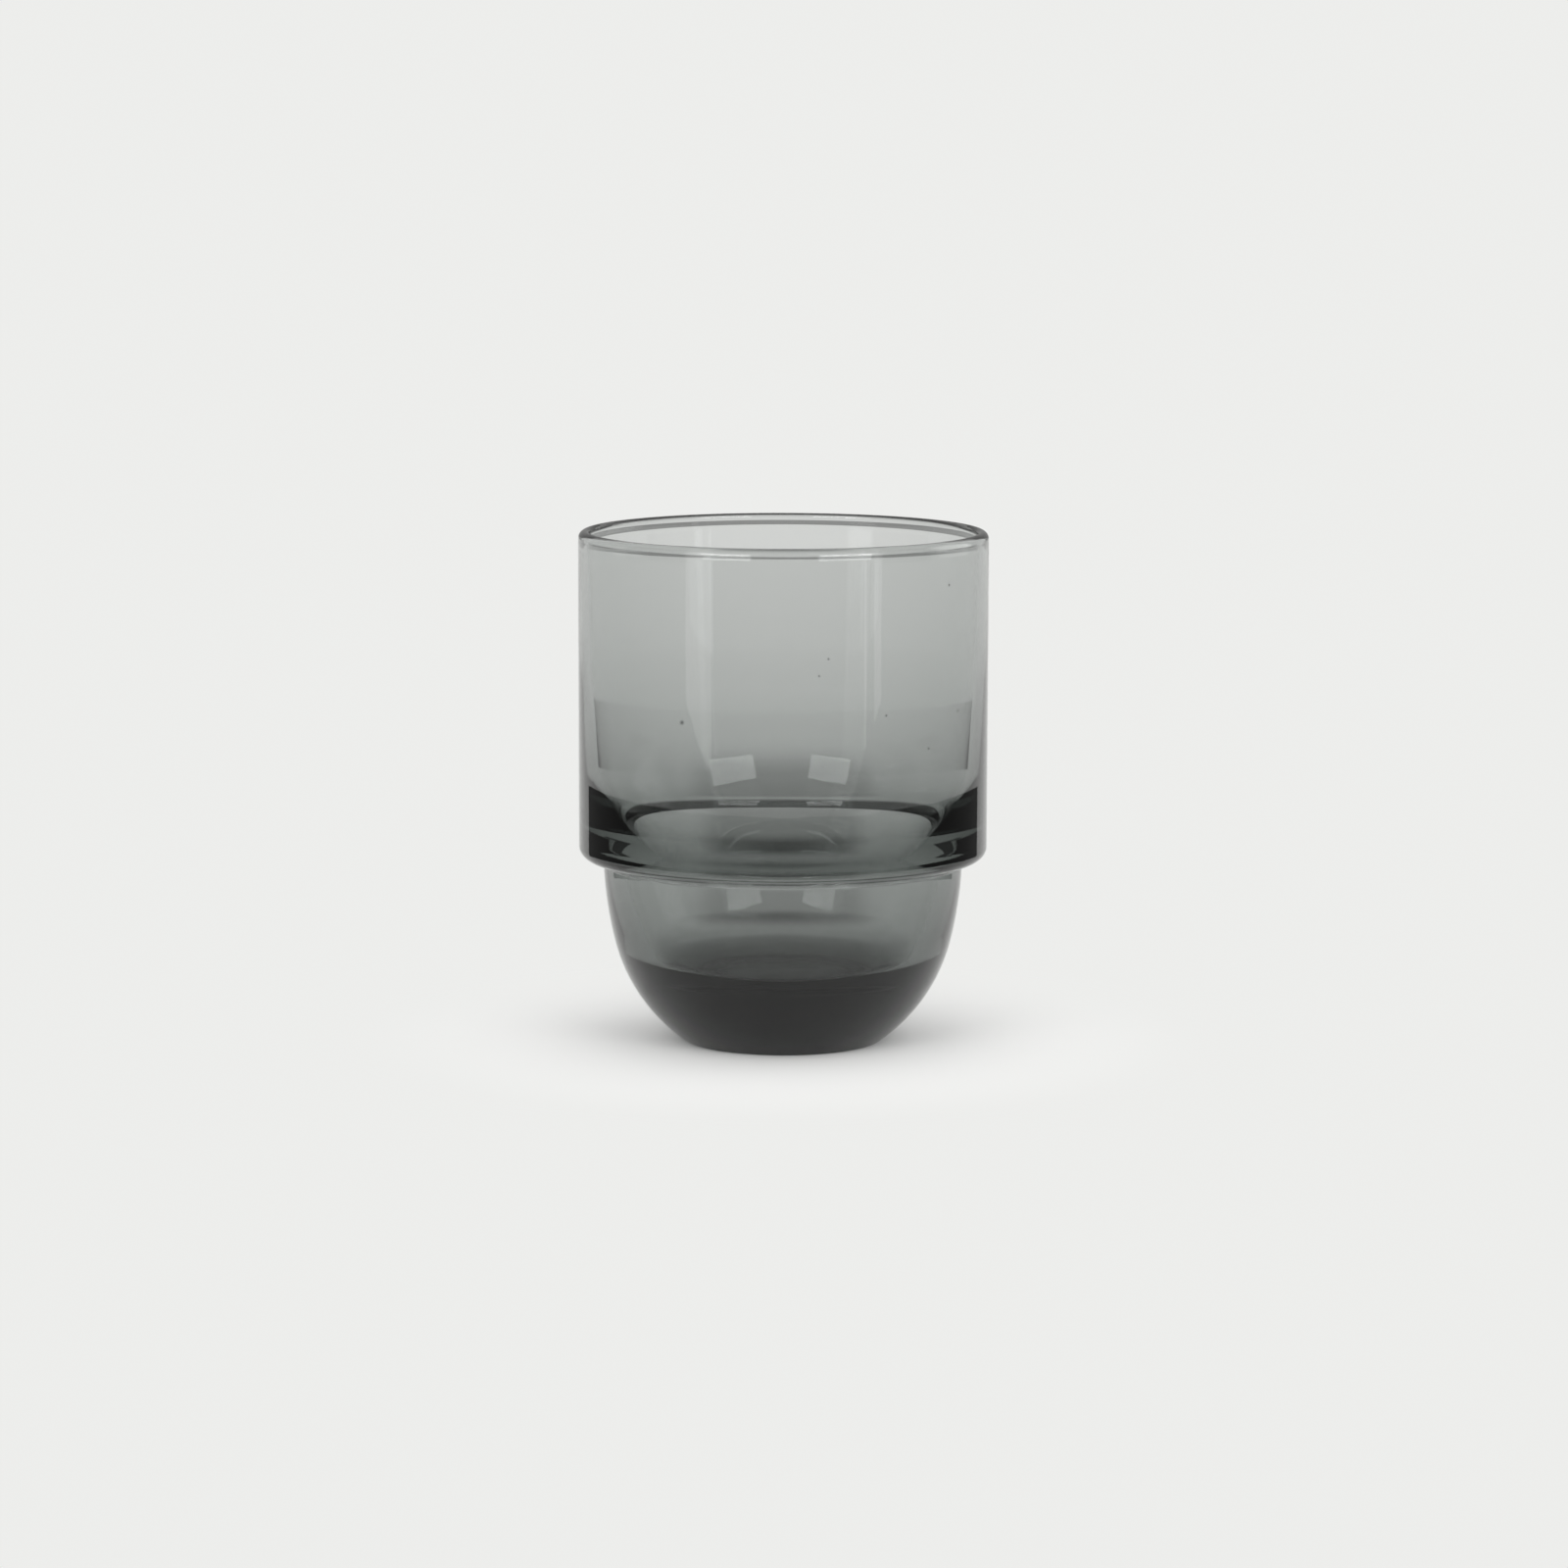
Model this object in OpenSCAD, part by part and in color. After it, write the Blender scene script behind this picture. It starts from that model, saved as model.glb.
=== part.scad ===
/* [Overall] */
// Height from the table to the crest of the rim
glass_h = 87.7; // [82:0.1:100]
// Outer diameter of the straight upper wall
body_d = 70; // [68:0.5:78]

/* [Rim] */
// Thickness of the fire-polished bead round the rim
rim_t = 2; // [1.9:0.05:2.3]
// Radius of the outer half of the bead, the inner half takes the rest of its thickness
rim_outer_r = 1.3; // [1:0.1:1.4]
// Radius of the soft neck below the bead, on the inside
neck_r = 8; // [5:0.5:10]
// Thickness of the wall just below the neck
wall_t = 1.75; // [1.5:0.05:1.85]

/* [Shoulder] */
// Height of the inner corner where the bowl meets the underside of the shoulder
shoulder_z = 30.6; // [28:0.1:34]
// Slope of the underside of the shoulder, in degrees below the horizontal towards the axis
shoulder_slope = 21; // [10:1:35]
// Radius of the lower outer corner of the upper wall
shoulder_corner_r = 2.1; // [1:0.1:3]
// Radius of the small fillet between the bowl and the shoulder
shoulder_fillet_r = 0.3; // [0.2:0.05:0.6]

/* [Bowl] */
// Amount by which the radius of the bowl's ball is smaller than the radius of the upper wall
bowl_inset = 5.25; // [4:0.05:7]
// Radius of the long curve that carries the bowl up to the shoulder
bowl_flare_r = 66.6; // [55:0.1:90]
// Angle below the ball's widest level at which the long curve takes over, in degrees
bowl_flare_a = 14; // [8:0.5:20]

/* [Foot] */
// Radius at which the ball would meet the table
foot_r = 17.1; // [15:0.1:19]
// Radius of the rounded edge round the foot
foot_edge_r = 0.6; // [0.3:0.1:1.2]
// Radius of the shallow moulded hollow under the foot
foot_hollow_r = 12.5; // [9:0.5:13.5]
// Depth of the hollow at its middle
foot_hollow_t = 0.5; // [0.3:0.1:1]

/* [Inside] */
// Thickness of the solid glass under the middle of the floor
floor_t = 11.2; // [9:0.1:14]
// Radius of the gentle dish of the floor
floor_dish_r = 142; // [100:1:220]
// Radius of the corner between the floor and the bowl's inner wall
floor_corner_r = 7; // [4:0.1:9]
// Thickness of the bowl's wall, measured level at the shoulder's inner corner
bowl_wall_t = 3.6; // [3:0.05:4.5]
// Radius of the inner wall of the bowl
inner_bowl_r = 48.5; // [40:0.1:56]
// Lean of the bowl's inner wall at its top, in degrees from the vertical
inner_bowl_lean = 5.6; // [3:0.1:8]
// Radius of the soft waist between the shoulder's inside and the bowl's
inner_waist_r = 13.5; // [9:0.1:18]
// Radius of the inner wall's turn above the waist
inner_turn_r = 36; // [30:0.1:44]
// Height that the lean of the two walls takes off the turn and waist between them
inner_turn_short = 7; // [5:0.1:9]
// Radius of the long curve that thickens the wall downwards above that turn
wall_curve_r = 380; // [300:5:600]
// Height above the shoulder's inner corner at which the long curve begins
wall_curve_rise = 42.5; // [38:0.1:46]
// Draft of the straight inner wall between the neck and the long curve, in degrees
wall_draft = 0.9; // [0.5:0.1:1.5]

/* [Hidden] */
$fn = 240;
// Overrun of a cut past the face that it opens, and of a band past the one it joins
over = 1;

// Amount by which a blending circle bites past what it touches, so that the two outlines cross
bite = 0.001;

body_r = body_d / 2;
rim_inner_r = rim_t - rim_outer_r;
rim_crest_r = body_r - rim_outer_r;
rim_outer_z = glass_h - rim_outer_r;

// Direction that points the angle a below the horizontal
function down(a) = [cos(a), -sin(a)];

// Ball of the bowl, and the long curve that follows it upwards
bowl_r = body_r - bowl_inset;
ball_c = [0, sqrt(pow(bowl_r, 2) - pow(foot_r, 2))];
flare_from = ball_c + bowl_r * down(bowl_flare_a);
flare_c = flare_from - (bowl_flare_r + bite) * down(bowl_flare_a);
joint_x = flare_c[0] + sqrt(pow(bowl_flare_r, 2) - pow(shoulder_z - flare_c[1], 2));

// Underside of the shoulder, a line that rises outwards from the bowl to the corner circle
under_dir = [cos(shoulder_slope), sin(shoulder_slope)];
under_normal = [sin(shoulder_slope), -cos(shoulder_slope)];
under_axis_z = shoulder_z - joint_x * tan(shoulder_slope);
under_drop = (shoulder_corner_r - bite) / cos(shoulder_slope);
corner_x = body_r - shoulder_corner_r;
corner_c = [corner_x, under_axis_z + corner_x * tan(shoulder_slope) + under_drop];
under_end = corner_c + (shoulder_corner_r - bite) * under_normal;

// Fillet in the inner corner, between the bowl's long curve and the shoulder's underside
fillet_gap = shoulder_fillet_r - bite;
fillet_depth = fillet_gap - (flare_c - [joint_x, shoulder_z]) * under_normal;
fillet_run = sqrt(pow(bowl_flare_r + fillet_gap, 2) - pow(fillet_depth, 2));
fillet_c = flare_c + under_normal * fillet_depth + under_dir * fillet_run;
fillet_foot_z = (flare_c + (fillet_c - flare_c) * bowl_flare_r / norm(fillet_c - flare_c))[1];
fillet_top_z = (fillet_c - under_normal * shoulder_fillet_r)[1];

// Edge of the foot, and the shallow hollow under it
edge_gap = bowl_r - foot_edge_r + bite;
edge_c = [sqrt(pow(edge_gap, 2) - pow(ball_c[1] - foot_edge_r, 2)), foot_edge_r];
edge_top_z = (ball_c + (edge_c - ball_c) * bowl_r / edge_gap)[1];
hollow_ball_r = (pow(foot_hollow_r, 2) + pow(foot_hollow_t, 2)) / (2 * foot_hollow_t);

// Bead and neck at the rim: the neck's circle touches the bead from below and the straight wall
lip_c = [rim_crest_r, glass_h - rim_inner_r];
neck_end_x = body_r - wall_t;
neck_gap = rim_inner_r + neck_r - bite;
neck_x = neck_end_x - neck_r + bite;
neck_c = [neck_x, lip_c[1] - sqrt(pow(neck_gap, 2) - pow(lip_c[0] - neck_x, 2))];
neck_top_z = (neck_c + (lip_c - neck_c) * neck_r / neck_gap)[1];

// Inner wall below the neck: straight with its draft, long curve, turn and waist
curve_z = shoulder_z + wall_curve_rise;
curve_from = [neck_end_x - (neck_c[1] - curve_z) * tan(wall_draft), curve_z];
curve_c = curve_from - (wall_curve_r - bite) * down(wall_draft);

// The wider the step from the wall in to the bowl, the higher above the shoulder the turn begins
turn_reach = inner_turn_r + inner_waist_r;
step_wide = curve_from[0] - (joint_x - bowl_wall_t);
step_tall = sqrt(pow(turn_reach, 2) - pow(turn_reach - step_wide, 2));
turn_z = shoulder_z + step_tall - inner_turn_short;
turn_a = asin((curve_c[1] - turn_z) / wall_curve_r);
turn_c = curve_c + (wall_curve_r - inner_turn_r + bite) * down(turn_a);

// The waist leans as much as brings the wall in to the bowl's own thickness below it
turn_x = turn_c[0] + inner_turn_r * cos(turn_a);
step_in = turn_x - (joint_x - bowl_wall_t);
lean_run = inner_turn_r * cos(turn_a) + inner_waist_r * cos(inner_bowl_lean) - step_in;
waist_lean = acos(lean_run / turn_reach);
waist_top_z = (turn_c + inner_turn_r * down(waist_lean))[1];
waist_c = turn_c + (turn_reach - bite) * down(waist_lean);
waist_foot_z = (waist_c - inner_waist_r * down(inner_bowl_lean))[1];
inner_bowl_c = waist_c - (inner_waist_r + inner_bowl_r - bite) * down(inner_bowl_lean);

// Floor, and its corner circle, which touches the bowl's inner wall and the dish from inside
floor_c = [0, floor_t + floor_dish_r];
wall_gap = inner_bowl_r - floor_corner_r + bite;
dish_gap = floor_dish_r - floor_corner_r + bite;
span = norm(floor_c - inner_bowl_c);
along = (floor_c - inner_bowl_c) / span;
along_run = (pow(wall_gap, 2) - pow(dish_gap, 2) + pow(span, 2)) / (2 * span);
aside_run = sqrt(pow(wall_gap, 2) - pow(along_run, 2));
floor_corner_c = inner_bowl_c + along * along_run + [along[1], -along[0]] * aside_run;
floor_corner_z = (inner_bowl_c + (floor_corner_c - inner_bowl_c) * inner_bowl_r / wall_gap)[1];
dish_top_z = (floor_c + (floor_corner_c - floor_c) * floor_dish_r / dish_gap)[1];

// A level band of the half outline, from the axis out to x. Each end is cut at its own height,
// so that neighbouring bands meet on one edge.
module band(x, z_from, z_to) {
    intersection() {
        translate([0, z_from]) square([x, z_to]);
        square([x, z_to]);
    }
}

// The circle about a point of the half outline
module disc(centre, radius) {
    translate(centre) circle(radius);
}

// A level band whose outer end is part of a circle
module round_band(centre, radius, z_from, z_to) {
    intersection() {
        disc(centre, radius);
        band(centre[0] + radius, z_from, z_to);
    }
}

// Upper bowl and the underside of the shoulder, with the inner corner rounded between them
module shoulder_half() {
    difference() {
        union() {
            round_band(flare_c, bowl_flare_r, flare_from[1], fillet_foot_z);
            band(fillet_c[0], fillet_foot_z, fillet_top_z);
            polygon([[0, under_axis_z], under_end, [0, under_end[1]]]);
        }
        disc(fillet_c, shoulder_fillet_r);
    }
}

// Half outline of the glass as if it were solid
module outer_half() {
    band(edge_c[0], 0, edge_top_z);
    disc(edge_c, foot_edge_r);
    round_band(ball_c, bowl_r, edge_top_z, ball_c[1]);
    shoulder_half();
    band(corner_x, under_end[1], corner_c[1]);
    disc(corner_c, shoulder_corner_r);
    band(body_r, corner_c[1], rim_outer_z);
    band(rim_crest_r, rim_outer_z, glass_h);
    round_band([rim_crest_r, rim_outer_z], rim_outer_r, rim_outer_z, glass_h);
}

// Half outline of the drinking space, open through the rim
module inner_half() {
    difference() {
        union() {
            round_band(floor_c, floor_dish_r, floor_t, dish_top_z);
            band(floor_corner_c[0], dish_top_z, floor_corner_z);
            disc(floor_corner_c, floor_corner_r);
            round_band(inner_bowl_c, inner_bowl_r, floor_corner_z, waist_foot_z);
            band(waist_c[0], waist_foot_z, waist_top_z);
            round_band(turn_c, inner_turn_r, waist_top_z, turn_z + over);
            round_band(curve_c, wall_curve_r, turn_z, curve_z + over);
            polygon([[0, curve_z], curve_from, [neck_end_x, neck_c[1]], [0, neck_c[1]]]);
            band(neck_c[0], neck_c[1] - over, neck_top_z);
            round_band(neck_c, neck_r, neck_c[1] - over, neck_top_z);
            band(rim_crest_r, neck_top_z, glass_h + over);
        }
        disc(waist_c, inner_waist_r);
        disc(lip_c, rim_inner_r);
    }
}

// Shallow hollow under the foot, so that the glass stands on a ring
module foot_hollow() {
    difference() {
        disc([0, foot_hollow_t - hollow_ball_r], hollow_ball_r);
        translate([0, -over - 2 * hollow_ball_r]) square(2 * hollow_ball_r);
    }
}

module glass_body() {
    color([0.62, 0.65, 0.63, 0.45])
    rotate_extrude()
    difference() {
        outer_half();
        inner_half();
        foot_hollow();
    }
}

glass_body();
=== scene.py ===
import bpy
import math
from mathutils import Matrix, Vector


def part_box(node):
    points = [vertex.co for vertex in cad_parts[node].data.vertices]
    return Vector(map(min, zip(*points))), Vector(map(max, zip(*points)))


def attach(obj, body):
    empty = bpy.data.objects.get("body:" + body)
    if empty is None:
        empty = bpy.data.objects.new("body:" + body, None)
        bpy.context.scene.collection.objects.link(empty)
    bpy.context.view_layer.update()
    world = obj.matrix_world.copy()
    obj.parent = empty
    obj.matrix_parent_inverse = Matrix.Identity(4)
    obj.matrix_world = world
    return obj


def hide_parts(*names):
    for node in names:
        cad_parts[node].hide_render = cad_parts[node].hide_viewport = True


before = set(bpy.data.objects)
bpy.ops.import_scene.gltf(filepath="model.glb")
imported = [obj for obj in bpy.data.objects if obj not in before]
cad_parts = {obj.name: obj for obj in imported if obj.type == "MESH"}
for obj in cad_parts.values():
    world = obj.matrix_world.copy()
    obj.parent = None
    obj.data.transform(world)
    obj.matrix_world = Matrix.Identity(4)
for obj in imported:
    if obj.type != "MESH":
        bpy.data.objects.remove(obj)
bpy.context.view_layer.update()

# Sizes of the glass, in metres and degrees, the same as those of the CAD solid
MM = 0.001
GLASS_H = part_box("glass_body")[1][2]
BODY_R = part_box("glass_body")[1][0]
RIM_T = 2 * MM
RIM_OUTER_R = 1.3 * MM
NECK_R = 8 * MM
WALL_T = 1.75 * MM
SHOULDER_Z = 30.6 * MM
SHOULDER_SLOPE = 21
SHOULDER_CORNER_R = 2.1 * MM
SHOULDER_FILLET_R = 0.3 * MM
BOWL_R = 29.75 * MM
BOWL_FLARE_R = 66.6 * MM
BOWL_FLARE_A = 14
FOOT_R = 17.1 * MM
FOOT_EDGE_R = 0.6 * MM
FOOT_HOLLOW_R = 12.5 * MM
FOOT_HOLLOW_T = 0.5 * MM
FOOT_HOLLOW_EDGE_T = 0.1 * MM
FLOOR_T = 11.2 * MM
FLOOR_DISH_R = 142 * MM
FLOOR_CORNER_R = 7 * MM
BOWL_WALL_T = 3.6 * MM
INNER_BOWL_R = 48.5 * MM
INNER_BOWL_LEAN = 5.6
INNER_WAIST_R = 13.5 * MM
INNER_TURN_R = 36 * MM
INNER_TURN_RISE = 16.41 * MM
WALL_CURVE_R = 380 * MM
WALL_CURVE_RISE = 42.5 * MM
WALL_DRAFT = 0.9

# Fineness of the mesh: steps round the glass, the angle of one step along a curve, and
# how near the axis a point counts as on it
STEPS_ROUND = 320
CURVE_STEP = 1.5
AXIS_REACH = 1e-7

# Camera, worked out from the rim and foot of the glass in the photograph
CAMERA_DISTANCE = 0.8819
CAMERA_HEIGHT = 0.168
CAMERA_PITCH = 8.0
CAMERA_LENS = 119.24
CAMERA_SENSOR_W = 36
CAMERA_ROLL = -0.13
CAMERA_SHIFT_X = -0.0004

# Glass: index, level of its reflections, and the smoke-grey, as the absorption per metre in
# each colour and the density that it is a share of
GLASS_IOR = 1.5
GLASS_SPECULAR = 0.32
TINT_LOSS = (156, 148, 151.5)
TINT_SCALE = 200

# Soft waves that the mould leaves in the surface: how many to the metre, how much less
# upright, their detail, and their depth
WAVE_SCALE = 70
WAVE_UPRIGHT = 0.4
WAVE_DETAIL = 2
WAVE_DEPTH = 0.05 * MM

# Specks in the glass, as places in millimetres and radii, and how far their edges reach
SPECKS = (
    (-16.7, -30.7, 58.6, 0.40),
    (27.5, -21.5, 80.6, 0.26),
    (7.4, -34.1, 69.6, 0.22),
    (5.9, -34.4, 66.8, 0.20),
    (29.2, -19.1, 59.2, 0.24),
    (24.2, -25.2, 53.6, 0.20),
    (17.0, -30.5, 59.8, 0.20),
    (6.4, -34.3, 51.8, 0.20),
)
SPECK_SOFTNESS = 1.6

# Backdrop and the even light of the studio, in radiance, where 1 is white
BACKDROP = (0.847, 0.850, 0.835)
STUDIO_LIGHT = 0.92

# Table: colour, roughness, half width, and its front and back edges
TABLE_COLOUR = (0.86, 0.86, 0.85)
TABLE_ROUGHNESS = 0.9
TABLE_HALF_W = 3.0
TABLE_FRONT_Y = -0.31
TABLE_BACK_Y = 6.0

# Distances from the axis between which the table melts into the backdrop
MELT = (0.022, 0.075)

# Shade painted on the table, as start, end and level under the foot, and as middle, reach
# and level in a round patch behind the glass
UNDER_FOOT = (0.012, 0.0185, 0.12)
SHADOW_BEHIND = (0.065, 0.028, 0.3)

# Long shade painted straight behind the glass: half width, start, end and level
LONG_SHADE_SIDE = (0.012, 0.030)
LONG_SHADE_START = (0.020, 0.075)
LONG_SHADE_END = (0.10, 0.24)
LONG_SHADE_LEVEL = 0.6

# Dim glowing cards of painted shade, seen only in and through the glass, hidden from the camera:
# azimuths from and to, distance, bottom, top, and level as a share of the backdrop
SHADE_CARDS = (
    ("card_low", -130, 130, 0.16, 0.0002, 0.025, 0.15),
    ("card_left", -100, -57, 1.0, 0.0005, 1.2, 0.45),
    ("card_right", 57, 87, 1.0, 0.0005, 1.2, 0.5),
    ("card_right_edge", 87, 92.5, 1.0, 0.0005, 1.2, 0.15),
    ("card_behind", 155, 205, 2.2, 0.0005, 0.9, 0.4),
)
CARD_STEP = 5

# Softboxes and strips of light: azimuth, elevation, width, height and radiance
SOFTBOXES = (
    ("softbox_left", -33, 19, 0.72, 0.40, 6.2),
    ("softbox_right", 36, 19, 0.80, 0.40, 6.2),
    ("high_softbox_left", -38, 40, 0.90, 0.60, 0.6),
    ("high_softbox_right", 38, 40, 0.90, 0.60, 0.6),
    ("strip_left", -47.5, 8, 0.41, 1.6, 1.1),
    ("strip_right", 53.3, 8, 0.12, 1.6, 1.1),
    ("strip_right_thin", 45.8, 8, 0.035, 1.6, 1.1),
    ("strip_far_right", 114, 8, 0.80, 1.6, 1.0),
)
SOFTBOX_DISTANCE = 1.5
SOFTBOX_AIM_Z = 0.05


def down(angle):
    """Unit vector in the (radius, height) plane that points the angle below the outward level."""
    a = math.radians(angle)
    return Vector((math.cos(a), -math.sin(a)))


def arc(centre, radius, a_from, a_to, inward=False):
    """Points and outward normals on a circle, from one angle below the level to another."""
    count = max(3, math.ceil(abs(a_to - a_from) / CURVE_STEP))
    side = -1 if inward else 1
    angles = [a_from + (a_to - a_from) * i / count for i in range(count + 1)]
    return [(centre + radius * down(a), side * down(a)) for a in angles]


def ball_centre():
    """Centre of the ball that the lower bowl is cut from."""
    return Vector((0, math.sqrt(BOWL_R ** 2 - FOOT_R ** 2)))


def flare_centre():
    """Centre of the long curve that carries the bowl up to the shoulder."""
    return ball_centre() - (BOWL_FLARE_R - BOWL_R) * down(BOWL_FLARE_A)


def shoulder_joint():
    """Point where the bowl's long curve meets the underside of the shoulder."""
    centre = flare_centre()
    run = math.sqrt(BOWL_FLARE_R ** 2 - (SHOULDER_Z - centre.y) ** 2)
    return Vector((centre.x + run, SHOULDER_Z))


def outer_outline():
    """Outer half outline, from the middle of the base up to the crest of the rim."""
    ball_c = ball_centre()
    flare_c = flare_centre()
    joint = shoulder_joint()
    hollow_r = (FOOT_HOLLOW_R ** 2 + FOOT_HOLLOW_T ** 2) / (2 * FOOT_HOLLOW_T)
    hollow_c = Vector((0, FOOT_HOLLOW_T - hollow_r))
    hollow_a = math.degrees(math.asin(FOOT_HOLLOW_R / hollow_r))
    edge_gap = BOWL_R - FOOT_EDGE_R
    edge_c = Vector((math.sqrt(edge_gap ** 2 - (ball_c.y - FOOT_EDGE_R) ** 2), FOOT_EDGE_R))
    edge_a = math.degrees(math.asin((ball_c.y - FOOT_EDGE_R) / edge_gap))

    # The underside of the shoulder is a line; its direction and its outward normal
    slope = math.radians(SHOULDER_SLOPE)
    under_dir = Vector((math.cos(slope), math.sin(slope)))
    under_n = Vector((math.sin(slope), -math.cos(slope)))
    under_a = 90 - SHOULDER_SLOPE
    corner_x = BODY_R - SHOULDER_CORNER_R
    under_z = joint.y + (corner_x - joint.x) * math.tan(slope)
    corner_z = under_z + SHOULDER_CORNER_R / math.cos(slope)
    corner_c = Vector((corner_x, corner_z))

    # Fillet circle that touches the flare from outside and the underside from below
    depth = SHOULDER_FILLET_R - (flare_c - joint).dot(under_n)
    run = math.sqrt((BOWL_FLARE_R + SHOULDER_FILLET_R) ** 2 - depth ** 2)
    fillet_c = flare_c + under_n * depth + under_dir * run
    fillet_sin = (flare_c.y - fillet_c.y) / (BOWL_FLARE_R + SHOULDER_FILLET_R)
    fillet_a = math.degrees(math.asin(fillet_sin))
    rim_c = Vector((BODY_R - RIM_OUTER_R, GLASS_H - RIM_OUTER_R))

    points = arc(hollow_c, hollow_r, -90, -90 + hollow_a, inward=True)
    points += [(Vector((FOOT_HOLLOW_R + FOOT_HOLLOW_EDGE_T, 0)), Vector((0, -1)))]
    points += [(Vector(((FOOT_HOLLOW_R + edge_c.x) / 2, 0)), Vector((0, -1)))]
    points += arc(edge_c, FOOT_EDGE_R, 90, edge_a)
    points += arc(ball_c, BOWL_R, edge_a, BOWL_FLARE_A)[1:]
    points += arc(flare_c, BOWL_FLARE_R, BOWL_FLARE_A, fillet_a)[1:]
    points += arc(fillet_c, -SHOULDER_FILLET_R, fillet_a, under_a)[1:]
    points += arc(corner_c, SHOULDER_CORNER_R, under_a, 0)
    points += arc(rim_c, RIM_OUTER_R, 0, -90)
    return points


def inner_outline():
    """Inner half outline, from the crest of the rim down to the middle of the floor."""
    lip_r = RIM_T - RIM_OUTER_R
    lip_c = Vector((BODY_R - RIM_OUTER_R, GLASS_H - lip_r))
    wall_x = BODY_R - WALL_T
    neck_run = (wall_x - NECK_R - lip_c.x) / (lip_r + NECK_R)
    neck_a = math.degrees(math.acos(-neck_run))
    neck_c = lip_c + (lip_r + NECK_R) * Vector((neck_run, -math.sin(math.radians(neck_a))))
    curve_z = SHOULDER_Z + WALL_CURVE_RISE
    curve_x = wall_x - (neck_c.y - curve_z) * math.tan(math.radians(WALL_DRAFT))
    curve_c = Vector((curve_x, curve_z)) - WALL_CURVE_R * down(WALL_DRAFT)
    turn_z = SHOULDER_Z + INNER_TURN_RISE
    turn_a = math.degrees(math.asin((curve_c.y - turn_z) / WALL_CURVE_R))
    turn_from = curve_c + WALL_CURVE_R * down(turn_a)
    turn_c = turn_from - INNER_TURN_R * down(turn_a)
    step_in = turn_from.x - (shoulder_joint().x - BOWL_WALL_T)
    waist_cos = INNER_TURN_R * down(turn_a).x + INNER_WAIST_R * down(INNER_BOWL_LEAN).x - step_in
    waist_a = math.degrees(math.acos(waist_cos / (INNER_TURN_R + INNER_WAIST_R)))
    waist_c = turn_c + (INNER_TURN_R + INNER_WAIST_R) * down(waist_a)
    bowl_c = waist_c - (INNER_WAIST_R + INNER_BOWL_R) * down(INNER_BOWL_LEAN)
    floor_c = Vector((0, FLOOR_T + FLOOR_DISH_R))

    # The floor's corner circle touches the bowl wall's circle and the dish from inside
    wall_gap = INNER_BOWL_R - FLOOR_CORNER_R
    dish_gap = FLOOR_DISH_R - FLOOR_CORNER_R
    span = (floor_c - bowl_c).length
    along = (floor_c - bowl_c) / span
    along_run = (wall_gap ** 2 - dish_gap ** 2 + span ** 2) / (2 * span)
    aside_run = math.sqrt(wall_gap ** 2 - along_run ** 2)
    corner_c = bowl_c + along * along_run + Vector((along.y, -along.x)) * aside_run
    wall_a = math.degrees(math.asin((bowl_c.y - corner_c.y) / wall_gap))
    dish_a = math.degrees(math.asin((floor_c.y - corner_c.y) / dish_gap))

    points = arc(lip_c, lip_r, 270, 180 - neck_a)[1:]
    points += arc(neck_c, NECK_R, -neck_a, WALL_DRAFT, inward=True)[1:]
    points += arc(curve_c, WALL_CURVE_R, WALL_DRAFT, turn_a, inward=True)
    points += arc(turn_c, INNER_TURN_R, turn_a, waist_a, inward=True)[1:]
    points += arc(waist_c, -INNER_WAIST_R, waist_a, INNER_BOWL_LEAN, inward=True)[1:]
    points += arc(bowl_c, INNER_BOWL_R, INNER_BOWL_LEAN, wall_a, inward=True)[1:]
    points += arc(corner_c, FLOOR_CORNER_R, wall_a, dish_a, inward=True)[1:]
    points += arc(floor_c, FLOOR_DISH_R, dish_a, 90, inward=True)[1:]
    return points


def add_object(name, data):
    """New object of the data, linked to the scene."""
    piece = bpy.data.objects.new(name, data)
    bpy.context.scene.collection.objects.link(piece)
    return piece


def add_material(piece, name):
    """New material on the piece, given back as its node tree and its main shader."""
    material = bpy.data.materials.new(name)
    material.use_nodes = True
    piece.data.materials.append(material)
    return material.node_tree, material.node_tree.nodes["Principled BSDF"]


def math_node(tree, operation, *values):
    """Sum, product or other result of plain values and sockets."""
    node = tree.nodes.new("ShaderNodeMath")
    node.operation = operation
    for socket, value in zip(node.inputs, values):
        if isinstance(value, (int, float)):
            socket.default_value = value
        else:
            tree.links.new(value, socket)
    return node.outputs[0]


def ramp_node(tree, socket, start, end, from_value, to_value):
    """Value that changes smoothly while the socket goes from start to end."""
    ramp = tree.nodes.new("ShaderNodeMapRange")
    ramp.interpolation_type = "SMOOTHSTEP"
    ramp.inputs["From Min"].default_value = start
    ramp.inputs["From Max"].default_value = end
    ramp.inputs["To Min"].default_value = from_value
    ramp.inputs["To Max"].default_value = to_value
    tree.links.new(socket, ramp.inputs["Value"])
    return ramp.outputs["Result"]


def distance_node(tree, place, centre):
    """Distance of a place, given by a socket, from a fixed centre."""
    node = tree.nodes.new("ShaderNodeVectorMath")
    node.operation = "DISTANCE"
    node.inputs[1].default_value = centre
    tree.links.new(place, node.inputs[0])
    return node.outputs["Value"]


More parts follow.
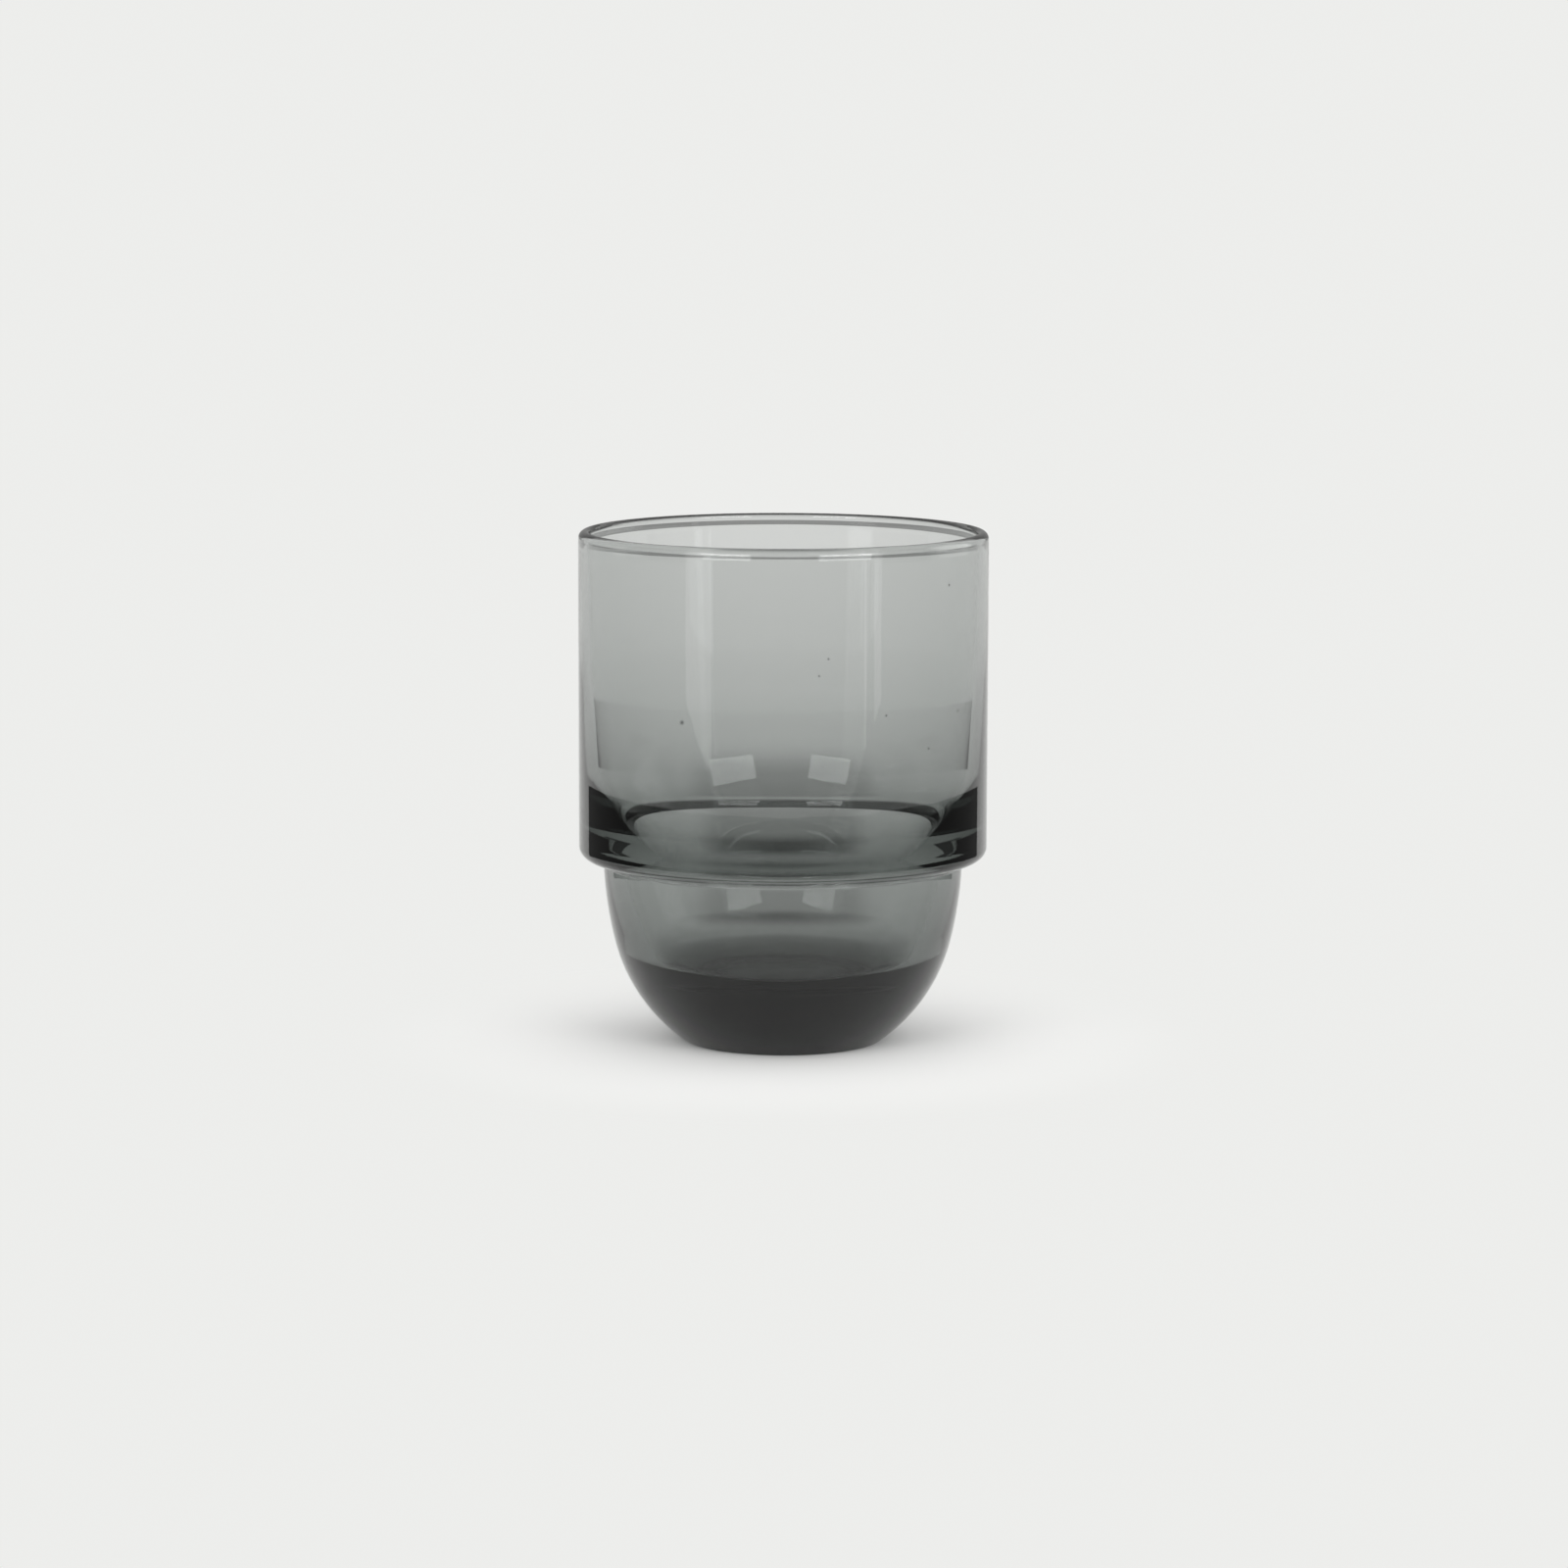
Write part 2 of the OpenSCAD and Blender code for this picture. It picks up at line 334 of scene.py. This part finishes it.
def revolve(name, outline):
    """Closed mesh of the outline turned about the vertical axis, with the outline's own normals."""
    vertices = []
    normals = []
    faces = []
    rings = []
    for point, normal in outline:
        if point.x < AXIS_REACH:
            rings.append([len(vertices)])
            vertices.append((0, 0, point.y))
            normals.append((0, 0, math.copysign(1, normal.y)))
            continue
        rings.append(list(range(len(vertices), len(vertices) + STEPS_ROUND)))
        for i in range(STEPS_ROUND):
            a = 2 * math.pi * i / STEPS_ROUND
            vertices.append((point.x * math.cos(a), point.x * math.sin(a), point.y))
            normals.append((normal.x * math.cos(a), normal.x * math.sin(a), normal.y))
    for lower, upper in zip(rings, rings[1:]):
        for i in range(STEPS_ROUND):
            j = (i + 1) % STEPS_ROUND
            corners = [lower[i % len(lower)], lower[j % len(lower)]]
            corners += [upper[j % len(upper)], upper[i % len(upper)]]
            # Next to the axis two corners are the same, and the face is a triangle
            faces.append(list(dict.fromkeys(corners)))
    mesh = bpy.data.meshes.new(name)
    mesh.from_pydata(vertices, [], faces)
    mesh.shade_smooth()
    mesh.normals_split_custom_set_from_vertices(normals)
    return add_object(name, mesh)


def dress_glass(glass):
    """Clear glass with a smoke-grey tint in its depth, soft waves and a few specks."""
    tree, shader = add_material(glass, "smoke_glass")
    shader.inputs["Roughness"].default_value = 0.0
    shader.inputs["IOR"].default_value = GLASS_IOR
    shader.inputs["Specular IOR Level"].default_value = GLASS_SPECULAR
    shader.inputs["Transmission Weight"].default_value = 1
    depth = tree.nodes.new("ShaderNodeVolumeAbsorption")
    depth.inputs["Color"].default_value = [1 - loss / TINT_SCALE for loss in TINT_LOSS] + [1]
    depth.inputs["Density"].default_value = TINT_SCALE
    tree.links.new(depth.outputs["Volume"], tree.nodes["Material Output"].inputs["Volume"])

    # Waves of the surface
    coords = tree.nodes.new("ShaderNodeTexCoord")
    stretch = tree.nodes.new("ShaderNodeMapping")
    stretch.inputs["Scale"].default_value = (1, 1, WAVE_UPRIGHT)
    tree.links.new(coords.outputs["Object"], stretch.inputs["Vector"])
    waves = tree.nodes.new("ShaderNodeTexNoise")
    waves.inputs["Scale"].default_value = WAVE_SCALE
    waves.inputs["Detail"].default_value = WAVE_DETAIL
    tree.links.new(stretch.outputs["Vector"], waves.inputs["Vector"])
    bump = tree.nodes.new("ShaderNodeBump")
    bump.inputs["Distance"].default_value = WAVE_DEPTH
    tree.links.new(waves.outputs["Fac"], bump.inputs["Height"])
    tree.links.new(bump.outputs["Normal"], shader.inputs["Normal"])

    # Specks, each a soft dark dot
    clear = 1
    for x, y, z, radius in SPECKS:
        reach = distance_node(tree, coords.outputs["Object"], (x * MM, y * MM, z * MM))
        dot = ramp_node(tree, reach, 0, SPECK_SOFTNESS * radius * MM, 0, 1)
        clear = math_node(tree, "MULTIPLY", clear, dot)
    tree.links.new(clear, shader.inputs["Base Color"])


def make_glass():
    """The one piece: the whole glass, in place of the CAD solid."""
    glass = revolve("glass", outer_outline() + inner_outline())
    dress_glass(glass)
    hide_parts("glass_body")
    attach(glass, "root")


def backdrop_rays(tree):
    """1 for the rays that show the backdrop: from the camera, reflected, and through glass."""
    path = tree.nodes.new("ShaderNodeLightPath")
    seen = math_node(tree, "MAXIMUM", path.outputs["Is Camera Ray"], path.outputs["Is Glossy Ray"])
    return math_node(tree, "MAXIMUM", seen, path.outputs["Is Transmission Ray"])


def painted_table_shade(tree, place, distance):
    """Level of the painted shade on the table, 1 where it is plain: it goes by the place on the
    table alone.
    """
    start, end, level = UNDER_FOOT
    shade = ramp_node(tree, distance, start, end, level, 1)
    middle, reach, level = SHADOW_BEHIND
    apart = distance_node(tree, place, (0, middle, 0))
    shade = math_node(tree, "MULTIPLY", shade, ramp_node(tree, apart, 0, reach, level, 1))
    spot = tree.nodes.new("ShaderNodeSeparateXYZ")
    tree.links.new(place, spot.inputs["Vector"])
    aside = math_node(tree, "ABSOLUTE", spot.outputs["X"])
    band = ramp_node(tree, aside, *LONG_SHADE_SIDE, 1, 0)
    begun = ramp_node(tree, spot.outputs["Y"], *LONG_SHADE_START, 0, 1)
    band = math_node(tree, "MULTIPLY", band, begun)
    not_over = ramp_node(tree, spot.outputs["Y"], *LONG_SHADE_END, 1, 0)
    band = math_node(tree, "MULTIPLY", band, not_over)
    return math_node(tree, "MULTIPLY", shade, ramp_node(tree, band, 0, 1, 1, LONG_SHADE_LEVEL))


def make_floor():
    """Pale table that takes the shadow, has painted shade by the glass, and melts into the backdrop
    away from it.
    """
    mesh = bpy.data.meshes.new("floor")
    corners = [
        (-TABLE_HALF_W, TABLE_FRONT_Y, 0),
        (TABLE_HALF_W, TABLE_FRONT_Y, 0),
        (TABLE_HALF_W, TABLE_BACK_Y, 0),
        (-TABLE_HALF_W, TABLE_BACK_Y, 0),
    ]
    mesh.from_pydata(corners, [], [(0, 1, 2, 3)])
    floor = add_object("floor", mesh)
    tree, shader = add_material(floor, "pale_table")
    place = tree.nodes.new("ShaderNodeNewGeometry").outputs["Position"]
    distance = distance_node(tree, place, (0, 0, 0))
    shade = painted_table_shade(tree, place, distance)

    # Table that the lamps light, its colour darkened by the painted shade
    tone = tree.nodes.new("ShaderNodeVectorMath")
    tone.operation = "SCALE"
    tone.inputs[0].default_value = TABLE_COLOUR
    tree.links.new(shade, tone.inputs["Scale"])
    tree.links.new(tone.outputs["Vector"], shader.inputs["Base Color"])
    shader.inputs["Roughness"].default_value = TABLE_ROUGHNESS
    shader.inputs["Specular IOR Level"].default_value = 0

    # Backdrop that it melts into, its glow darkened by the same painted shade
    glow = tree.nodes.new("ShaderNodeEmission")
    glow.inputs["Color"].default_value = (*BACKDROP, 1)
    tree.links.new(shade, glow.inputs["Strength"])
    melt = ramp_node(tree, distance, *MELT, 0, 1)
    mix = tree.nodes.new("ShaderNodeMixShader")
    tree.links.new(math_node(tree, "MULTIPLY", melt, backdrop_rays(tree)), mix.inputs["Fac"])
    tree.links.new(shader.outputs["BSDF"], mix.inputs[1])
    tree.links.new(glow.outputs["Emission"], mix.inputs[2])
    tree.links.new(mix.outputs["Shader"], tree.nodes["Material Output"].inputs["Surface"])


def make_world():
    """Even light all round, and the backdrop where it is seen, directly or in the glass."""
    world = bpy.data.worlds.new("studio")
    bpy.context.scene.world = world
    world.use_nodes = True
    tree = world.node_tree
    mix = tree.nodes.new("ShaderNodeMix")
    mix.data_type = "RGBA"
    mix.inputs["A"].default_value = (STUDIO_LIGHT, STUDIO_LIGHT, STUDIO_LIGHT, 1)
    mix.inputs["B"].default_value = (*BACKDROP, 1)
    tree.links.new(backdrop_rays(tree), mix.inputs["Factor"])
    tree.links.new(mix.outputs["Result"], tree.nodes["Background"].inputs["Color"])


def make_shade_card(name, azimuth_from, azimuth_to, distance, bottom, top, level):
    """Dim glowing card of painted shade, upright on a circle round the glass, seen only in and
    through it.
    """
    count = math.ceil((azimuth_to - azimuth_from) / CARD_STEP)
    vertices = []
    for i in range(count + 1):
        a = math.radians(azimuth_from + (azimuth_to - azimuth_from) * i / count)
        for height in (bottom, top):
            vertices.append((distance * math.sin(a), -distance * math.cos(a), height))
    faces = [(2 * i, 2 * i + 2, 2 * i + 3, 2 * i + 1) for i in range(count)]
    mesh = bpy.data.meshes.new(name)
    mesh.from_pydata(vertices, [], faces)
    card = add_object(name, mesh)
    _, shader = add_material(card, name)
    shader.inputs["Base Color"].default_value = (0, 0, 0, 1)
    shader.inputs["Specular IOR Level"].default_value = 0
    shader.inputs["Emission Color"].default_value = (*BACKDROP, 1)
    shader.inputs["Emission Strength"].default_value = level
    card.visible_camera = False
    card.visible_shadow = False
    card.visible_diffuse = False


def make_softbox(name, azimuth, elevation, width, height, radiance):
    """Softbox or strip of light, aimed at the glass, given by the angles at which it stands."""
    light = bpy.data.lights.new(name, "AREA")
    light.shape = "RECTANGLE"
    light.size = width
    light.size_y = height
    light.energy = math.pi * width * height * radiance
    lamp = add_object(name, light)
    a = math.radians(azimuth)
    e = math.radians(elevation)
    aim = Vector((0, 0, SOFTBOX_AIM_Z))
    direction = Vector((math.sin(a) * math.cos(e), -math.cos(a) * math.cos(e), math.sin(e)))
    lamp.location = aim + SOFTBOX_DISTANCE * direction
    lamp.rotation_euler = (aim - lamp.location).to_track_quat("-Z", "Y").to_euler()


def make_camera():
    """Camera at the photograph's viewing angle."""
    data = bpy.data.cameras.new("camera")
    data.lens = CAMERA_LENS
    data.sensor_width = CAMERA_SENSOR_W
    data.shift_x = CAMERA_SHIFT_X
    camera = add_object("camera", data)
    camera.location = (0, -CAMERA_DISTANCE, CAMERA_HEIGHT)
    camera.rotation_euler = (math.radians(90 - CAMERA_PITCH), math.radians(CAMERA_ROLL), 0)
    bpy.context.scene.camera = camera


make_camera()
make_glass()
make_floor()
make_world()
for card in SHADE_CARDS:
    make_shade_card(*card)
for softbox in SOFTBOXES:
    make_softbox(*softbox)
bpy.context.scene.view_settings.view_transform = "Standard"
